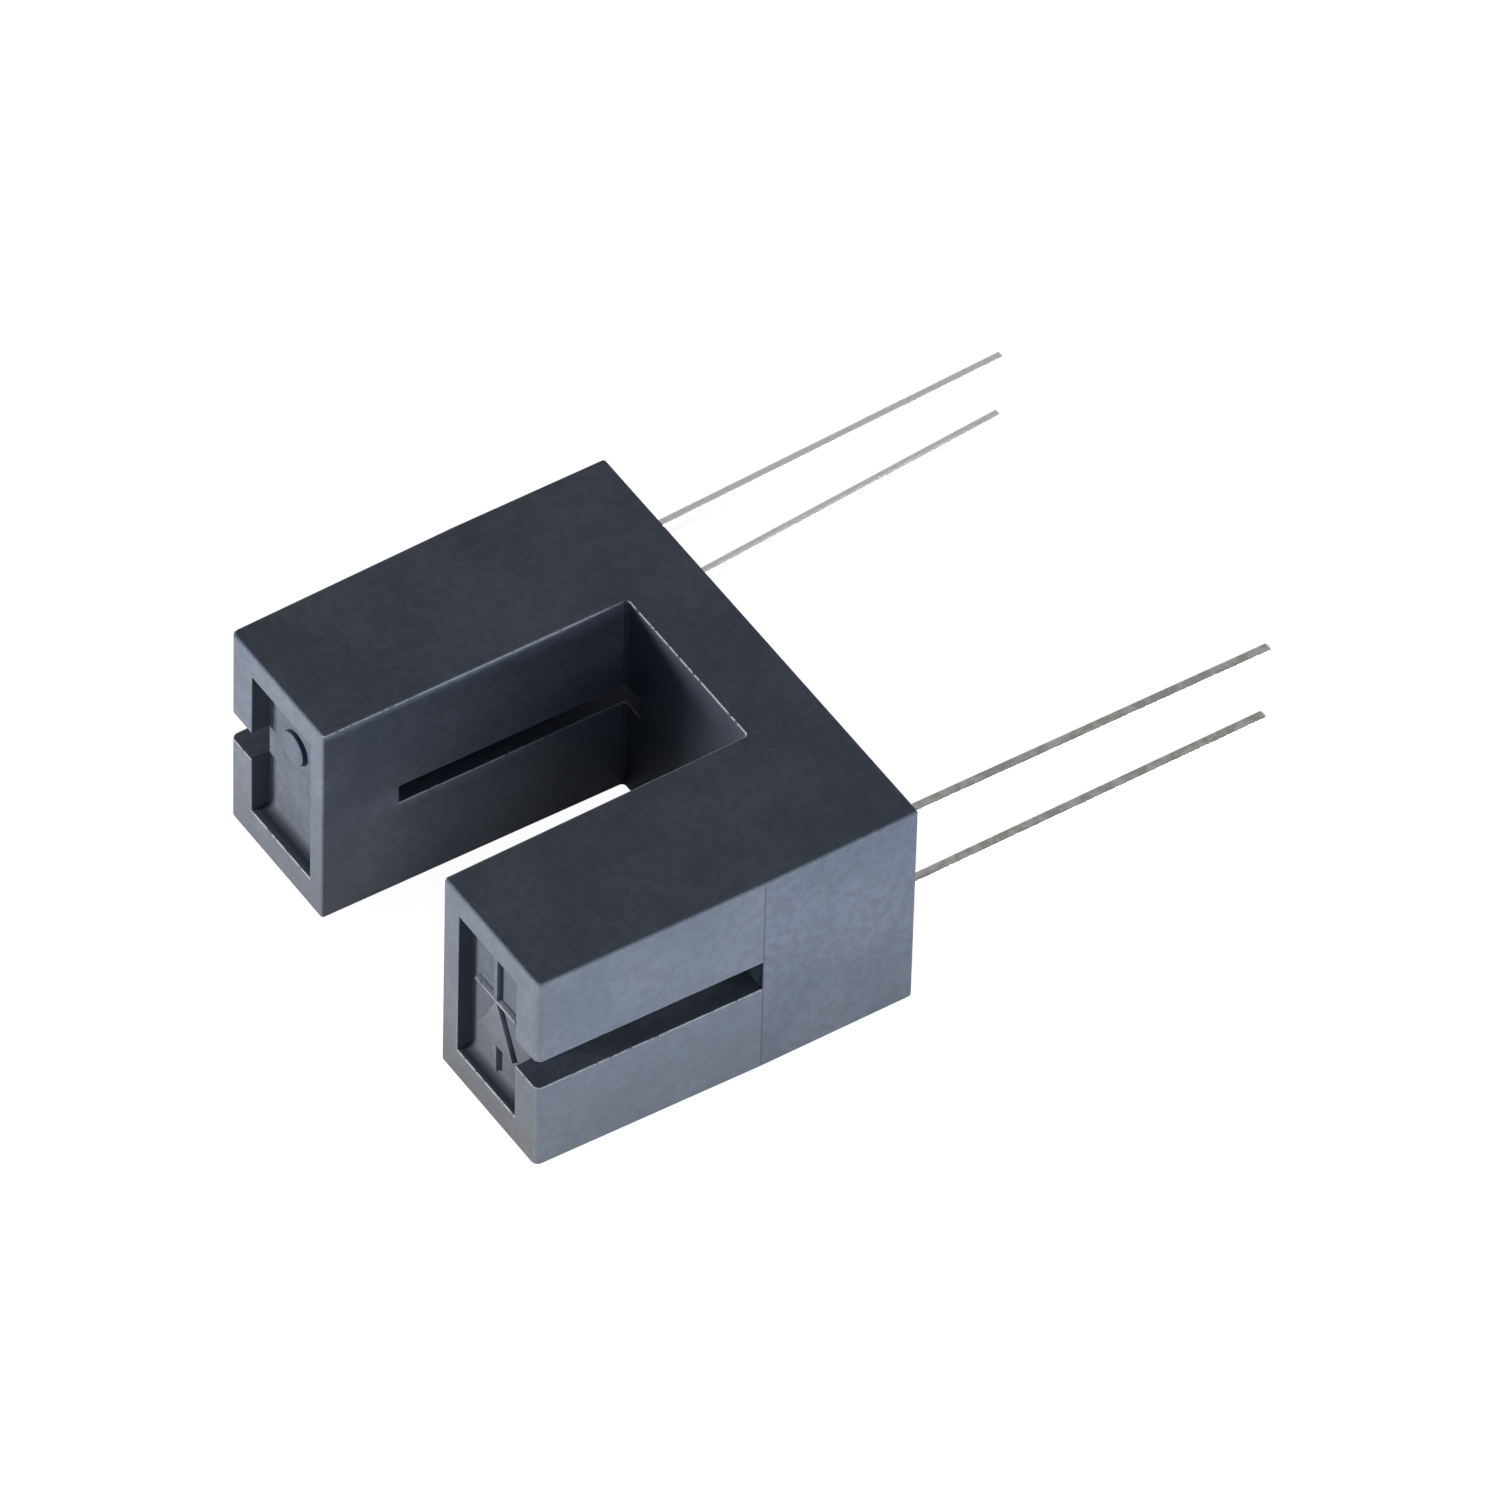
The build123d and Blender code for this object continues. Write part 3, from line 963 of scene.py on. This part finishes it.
@dataclass
class DiodeSign:
    """Raised diode sign on the floor of the emitter arm's recess.

    Sizes are on the floor, across the arms and along the thickness.
    """

    floor_depth: float = 0.4 * MM
    middle_x: float = 4.345 * MM
    bar_z: float = 0.41 * MM
    bar_half_length: float = 0.85 * MM
    base_z: float = -1.06 * MM
    base_half_width: float = 0.74 * MM
    upper_end_z: float = 2.27 * MM
    lower_end_z: float = -1.92 * MM
    stroke_width: float = 0.17 * MM
    relief: float = 0.14 * MM
    bar_step: float = 0.006 * MM
    triangle_relief: float = 0.13 * MM
    draft: float = 0.03 * MM
    bar_draft: float = 0.12 * MM
    foot: float = 0.01 * MM
    edge_radius: float = 0.02 * MM
    edge_segments: int = 2
    # Share of the pale worn rim, partly a painted highlight, on the sign's edges.
    rim_wear_and_glint: float = 0.25
    # Share of the recess floor's painted shade that the sign gets.
    sign_painted_shade: float = 0.2

    def leads(self) -> Lines:
        """Centre lines of the upper and lower lead, drawn flat."""
        spans = ((self.upper_end_z, self.bar_z), (self.base_z, self.lower_end_z))
        return [[Vector((self.middle_x, end, 0)) for end in span] for span in spans]

    def bar(self) -> list[Vector]:
        """Centre line of the bar, drawn flat and a little proud."""
        ends = (self.middle_x - self.bar_half_length, self.middle_x + self.bar_half_length)
        return [Vector((end, self.bar_z, self.bar_step)) for end in ends]

    def strokes(self, stroke: StrokeTree, lines: Lines, draft: float, material: Material) -> bpy.types.Mesh:
        """Sweeps strokes along lines.

        Args:
            stroke: The sweeping tree.
            lines: The strokes' centre lines.
            draft: How much narrower a stroke is at its raised face.
            material: The moulded plastic.

        Returns:
            The strokes as one plain mesh.
        """
        curve = bpy.data.curves.new("sign_lines", "CURVE")
        curve.dimensions = "3D"
        for line in lines:
            spline = curve.splines.new("POLY")
            spline.points.add(len(line) - 1)
            for point, place in zip(spline.points, line):
                point.co = (*place, 1.0)
        drawn = add_object("sign_lines", curve)
        modifier = drawn.modifiers.new("strokes", "NODES")
        modifier.node_group = stroke.tree
        relief = self.relief + self.foot
        given = {"Width": self.stroke_width, "Relief": relief, "Draft": draft, "Finish": material}
        for name, value in given.items():
            modifier[stroke.sockets[name]] = value
        swept = evaluated_mesh(drawn)
        bpy.data.objects.remove(drawn)
        return swept

    def add_triangle(self, mesh: Mesh) -> None:
        """Adds the filled triangle, narrower at its raised face."""
        height = self.bar_z - self.base_z
        left, right = self.middle_x - self.base_half_width, self.middle_x + self.base_half_width
        corners = [(self.middle_x, self.bar_z), (left, self.base_z), (right, self.base_z)]
        centre = Vector((self.middle_x, self.base_z + height / 3))
        shrink = 1.0 - self.draft / height
        foot, top = [], []
        for corner in corners:
            inner = centre + (Vector(corner) - centre) * shrink
            foot.append(mesh.verts.new((*corner, 0)))
            top.append(mesh.verts.new((*inner, self.triangle_relief + self.foot)))
        mesh.faces.new(top)
        mesh.faces.new(list(reversed(foot)))
        for here in range(3):
            there = (here + 1) % 3
            mesh.faces.new((foot[here], foot[there], top[there], top[here]))

    def wear_light_and_shade_shares(self, face: Face) -> dict[str, float]:
        """The share of a worn rim with a painted highlight, of painted shade and of an arm end's painted
        shade.
        """
        facing = -face.normal.y
        rim = self.rim_wear_and_glint if 0.25 < facing < 0.95 else 0.0
        # The sign gets the recess floor's painted shade, and its raised faces the end faces' painted shade.
        return {"rim": rim, "dull": self.sign_painted_shade, "end": float(facing > 0.9)}

    def build(self, material: Material) -> Piece:
        """Builds the sign where it stands.

        Args:
            material: The moulded plastic.

        Returns:
            The sign.
        """
        mesh = bmesh.new()
        stroke = StrokeTree()
        for lines, draft in ((self.leads(), self.draft), ([self.bar()], self.bar_draft)):
            mesh.from_mesh(self.strokes(stroke, lines, draft, material))
        self.add_triangle(mesh)
        floor_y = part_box("housing")[0].y + self.floor_depth
        stand = Matrix.Translation((0, floor_y + self.foot, 0)) @ Matrix.Rotation(math.radians(90), 4, "X")
        bmesh.ops.transform(mesh, matrix=stand, verts=mesh.verts)
        bmesh.ops.recalc_face_normals(mesh, faces=mesh.faces)
        soften(mesh, crisp_edges(mesh), self.edge_radius, self.edge_segments)
        mark_faces(mesh, ("rim", "dull", "end"), self.wear_light_and_shade_shares)
        piece = new_piece("diode_sign", mesh, material)
        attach(piece, "root")
        return piece


@dataclass
class LeadFrame:
    """The two stamped leads of one arm, with softened edges.

    Args:
        nodes: The CAD nodes, by name.
        names: The names of the arm's leads.
        finish: The leads' plating.
        edge_radius: The radius of the leads' edges in metres.
    """

    nodes: dict[str, Piece]
    names: tuple[str, ...]
    finish: TinnedMetal
    edge_radius: float
    edge_segments: int = 3

    def sheared_share(self, face: Face) -> dict[str, float]:
        """The share of a sheared edge, which a face is when it looks along the thickness."""
        return {"sheared": float(abs(face.normal.z) > 0.6)}

    def build(self, effects: SharedEffects) -> list[Piece]:
        """Builds a softened copy of each lead.

        Args:
            effects: The shared surface effects.

        Returns:
            The pieces that stand for the CAD leads.
        """
        material = self.finish.material(effects)
        pieces = []
        for name in self.names:
            mesh = merged_copy(self.nodes[name])
            soften(mesh, crisp_edges(mesh), self.edge_radius, self.edge_segments)
            mark_faces(mesh, ("sheared",), self.sheared_share)
            piece = new_piece(f"{name}_stamped", mesh, material)
            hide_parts(name)
            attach(piece, "root")
            pieces.append(piece)
        return pieces


LEAD_LOOKS = {
    Arm.EMITTER: (TinnedMetal("tinned_lead", 1.0), 0.02 * MM),
    Arm.DETECTOR: (TinnedMetal("tinned_lead_bright", 0.0), 0.085 * MM),
}


@dataclass
class Devices:
    """The emitter and detector packages with what they hold.

    Args:
        nodes: The CAD nodes, by name.
    """

    nodes: dict[str, Piece]

    def dress(self, effects: SharedEffects) -> list[str]:
        """Gives each carried-over node its finish.

        Args:
            effects: The shared surface effects.

        Returns:
            The names of the dressed nodes.
        """
        clear = CastEpoxy("clear_epoxy", (0.70, 0.76, 0.86), (0.80, 0.84, 0.92), 0.85)
        dark = CastEpoxy("filter_epoxy", (0.016, 0.010, 0.016), (0.026, 0.016, 0.024), 0.0)
        grey, pale_grey = (0.42, 0.42, 0.41), (0.78, 0.78, 0.77)
        yellow, deep_yellow = (0.95, 0.70, 0.28), (0.80, 0.53, 0.17)
        silver_grain, gold_grain = (26000.0, 6000.0, 0.6), (40000.0, 9000.0, 0.4)
        finishes = {
            ("emitter_package",): clear,
            ("detector_package",): dark,
            ("emitter_chip", "detector_chip"): SawnDie("die"),
            ("emitter_die_attach", "detector_die_attach"): FleckedMetal(
                "silver_adhesive", grey, pale_grey, silver_grain, (0.62, 0.3), 0.5, 0.003 * MM
            ),
            ("emitter_bond_wire", "detector_bond_wire"): FleckedMetal(
                "gold_wire", yellow, deep_yellow, gold_grain, (0.18, 0.3), 1.0, 0.0006 * MM
            ),
        }
        for names, finish in finishes.items():
            material = finish.material(effects)
            for name in names:
                self.nodes[name].material_slots[0].material = material
        return [name for names in finishes for name in names]


# Studio


@dataclass(frozen=True)
class Photo:
    """How the photograph was taken, in degrees, millimetres and pixels."""

    azimuth: float = 55.704
    elevation: float = 46.589
    roll: float = 1.677
    distance: float = 460.9
    pixels_per_mm: float = 43.7593
    frame_pixels: float = 1500.0
    aim: tuple[float, float, float] = (0.0, -5.1, 0.0)
    aim_right: float = 4.0939
    aim_up: float = 1.4168

    def axes(self) -> tuple[Vector, Vector, Vector]:
        """Right, up and backward directions of the camera."""
        turn, tilt, roll = (math.radians(angle) for angle in (self.azimuth, self.elevation, self.roll))
        back = Vector((math.sin(turn) * math.cos(tilt), -math.cos(turn) * math.cos(tilt), math.sin(tilt)))
        level = Vector((math.cos(turn), math.sin(turn), 0.0))
        above = back.cross(level)
        right = math.cos(roll) * level + math.sin(roll) * above
        up = -math.sin(roll) * level + math.cos(roll) * above
        return right, up, back

    def build(self) -> None:
        """Places the camera and makes it the scene's own."""
        right, up, back = self.axes()
        target = Vector(self.aim) + self.aim_right * right + self.aim_up * up
        place = (target + self.distance * back) * MM
        data = bpy.data.cameras.new("photo_camera")
        width = self.frame_pixels / self.pixels_per_mm
        data.sensor_fit = "HORIZONTAL"
        data.sensor_width = 36.0
        data.lens = data.sensor_width * self.distance / width
        data.clip_start = 0.05
        data.clip_end = 20.0
        camera = add_object("photo_camera", data)
        turn = Matrix((right, up, back)).transposed().to_4x4()
        camera.matrix_world = Matrix.Translation(place) @ turn
        bpy.context.scene.camera = camera


@dataclass(frozen=True)
class Lamp:
    """Large soft lamp that shines at the switch.

    Args:
        name: The lamp's name.
        azimuth: Where it stands, in degrees from +X towards +Y.
        elevation: How high it stands, in degrees.
        power: Its power in watts.
        width: The width of its face in metres.
        height: The height of its face in metres.
        tint: Its colour.
        distance: How far it stands from the switch in metres.
    """

    name: str
    azimuth: float
    elevation: float
    power: float
    width: float
    height: float
    tint: Colour = (1.0, 1.0, 1.0)
    distance: float = 0.6

    def build(self) -> None:
        """Places the lamp."""
        data = bpy.data.lights.new(self.name, "AREA")
        data.energy = self.power
        data.color = self.tint
        data.shape = "RECTANGLE"
        data.size = self.width
        data.size_y = self.height
        turn, tilt = math.radians(self.azimuth), math.radians(self.elevation)
        toward = Vector((math.cos(turn) * math.cos(tilt), math.sin(turn) * math.cos(tilt), math.sin(tilt)))
        lamp = add_object(self.name, data)
        lamp.location = toward * self.distance
        lamp.rotation_euler = toward.to_track_quat("Z", "Y").to_euler()


@dataclass
class Studio:
    """Pale floor, soft lamps, backdrop and camera.

    Args:
        floor_level: Height of the floor in metres.
    """

    floor_level: float
    floor_half_size: float = 3.0
    shadow_reach: float = 14.0 * MM
    paper_colour: tuple[float, ...] = (0.19, 0.18, 0.16, 1.0)
    ambient_colour: tuple[float, ...] = (0.93, 0.96, 1.0, 1.0)
    ambient: float = 0.115
    mirrored_ambient: float = 0.48
    lamps: tuple[Lamp, ...] = (
        Lamp("front_lamp", -115.0, 4.0, 8.2, 0.20, 0.07, (1.0, 0.955, 0.885)),
        Lamp("side_lamp", 32.0, 1.2, 5.7, 0.45, 0.025),
        Lamp("corner_lamp", -36.0, 2.5, 1.2, 0.35, 0.045),
        Lamp("high_lamp", -18.0, 20.0, 0.32, 0.2, 0.1),
    )

    def seen(self, wiring: Wiring, *rays: Ray) -> Socket:
        """Mask that is 1 for the given kinds of ray and 0 for the others."""
        path = wiring.add("ShaderNodeLightPath").outputs
        mask: object = 0.0
        for ray in rays:
            mask = wiring.maths("MAXIMUM", mask, path[ray.value])
        return mask

    def lit_paper(self, wiring: Wiring, shade: float, glow: Socket) -> Socket:
        """Paper with a glow that is dimmer where the switch covers it.

        Args:
            wiring: The floor material's wiring.
            shade: How much light the paper throws back.
            glow: The strength of its glow.

        Returns:
            The shader's socket.
        """
        paper = wiring.add("ShaderNodeBsdfDiffuse", {"Color": (shade, shade, shade, 1.0)})
        white = wiring.add("ShaderNodeEmission", {"Strength": glow})
        return wiring.add("ShaderNodeAddShader", {0: paper.outputs[0], 1: white.outputs[0]}).outputs[0]

    def floor_material(self) -> Material:
        """Pale paper that shows white where no shadow falls.

        Returns:
            The material.
        """
        material = bpy.data.materials.new("floor_paper")
        wiring = blank_tree(material)
        cover = wiring.add("ShaderNodeAmbientOcclusion", {"Distance": self.shadow_reach}, samples=6)
        open_share = cover.outputs["AO"]
        paper = wiring.add("ShaderNodeBsdfDiffuse", {"Color": self.paper_colour}).outputs[0]
        mirrored = self.lit_paper(wiring, 0.4, wiring.ramp(open_share, 0.1, 0.85))
        viewed = self.lit_paper(wiring, 0.22, wiring.spread(open_share, 0.95, 0.98))
        in_metal = wiring.choose(self.seen(wiring, Ray.GLOSSY, Ray.TRANSMISSION), paper, mirrored)
        shown = wiring.choose(self.seen(wiring, Ray.CAMERA), in_metal, viewed)
        wiring.add("ShaderNodeOutputMaterial", {"Surface": shown})
        return material

    def build_floor(self) -> None:
        """Builds the floor, which shows white and keeps a faint shadow."""
        mesh = bmesh.new()
        bmesh.ops.create_grid(mesh, x_segments=1, y_segments=1, size=self.floor_half_size)
        data = bpy.data.meshes.new("floor")
        mesh.to_mesh(data)
        mesh.free()
        floor = add_object("floor", data)
        floor.location.z = self.floor_level
        data.materials.append(self.floor_material())
        floor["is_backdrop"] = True

    def build_world(self) -> None:
        """Dim ambient light, with a white backdrop for the camera."""
        world = bpy.data.worlds.new("studio")
        bpy.context.scene.world = world
        wiring = blank_tree(world)
        inputs = {"Color": self.ambient_colour, "Strength": self.ambient}
        light = wiring.add("ShaderNodeBackground", inputs).outputs[0]
        mirrored = wiring.add("ShaderNodeBackground", {"Strength": self.mirrored_ambient}).outputs[0]
        backdrop = wiring.add("ShaderNodeBackground", {"Strength": 1.0}).outputs[0]
        in_gloss = wiring.choose(self.seen(wiring, Ray.GLOSSY), light, mirrored)
        shown = wiring.choose(self.seen(wiring, Ray.CAMERA), in_gloss, backdrop)
        wiring.add("ShaderNodeOutputWorld", {"Surface": shown})

    def build(self) -> None:
        """Builds the floor, the world, the lamps and the camera."""
        self.build_floor()
        self.build_world()
        for lamp in self.lamps:
            lamp.build()
        Photo().build()
        bpy.context.scene.view_settings.view_transform = "Standard"


def clear_scene() -> None:
    """Removes whatever the scene starts with."""
    for item in list(bpy.data.objects):
        bpy.data.objects.remove(item, do_unlink=True)


def main() -> None:
    """Builds every sub-assembly in order and reports each piece."""
    logging.basicConfig(level=logging.INFO, format="%(message)s")
    clear_scene()
    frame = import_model()
    model_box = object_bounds()
    nodes = frame["nodes"]
    effects = SharedEffects()

    housing = Housing(nodes["housing"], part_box("housing"))
    moulded = MouldedPlastic("housing_plastic", housing.parting_place(), housing.side_place())
    plastic = moulded.material(effects)
    log.info("housing: %s", housing.build(plastic).name)
    log.info("sign: %s", DiodeSign().build(plastic).name)
    for arm in Arm:
        for lead in LeadFrame(nodes, arm.value, *LEAD_LOOKS[arm]).build(effects):
            log.info("lead: %s", lead.name)
    for name in Devices(nodes).dress(effects):
        log.info("dressed: %s", name)

    Studio(model_box[0].z).build()


if __name__ == "__main__":
    main()
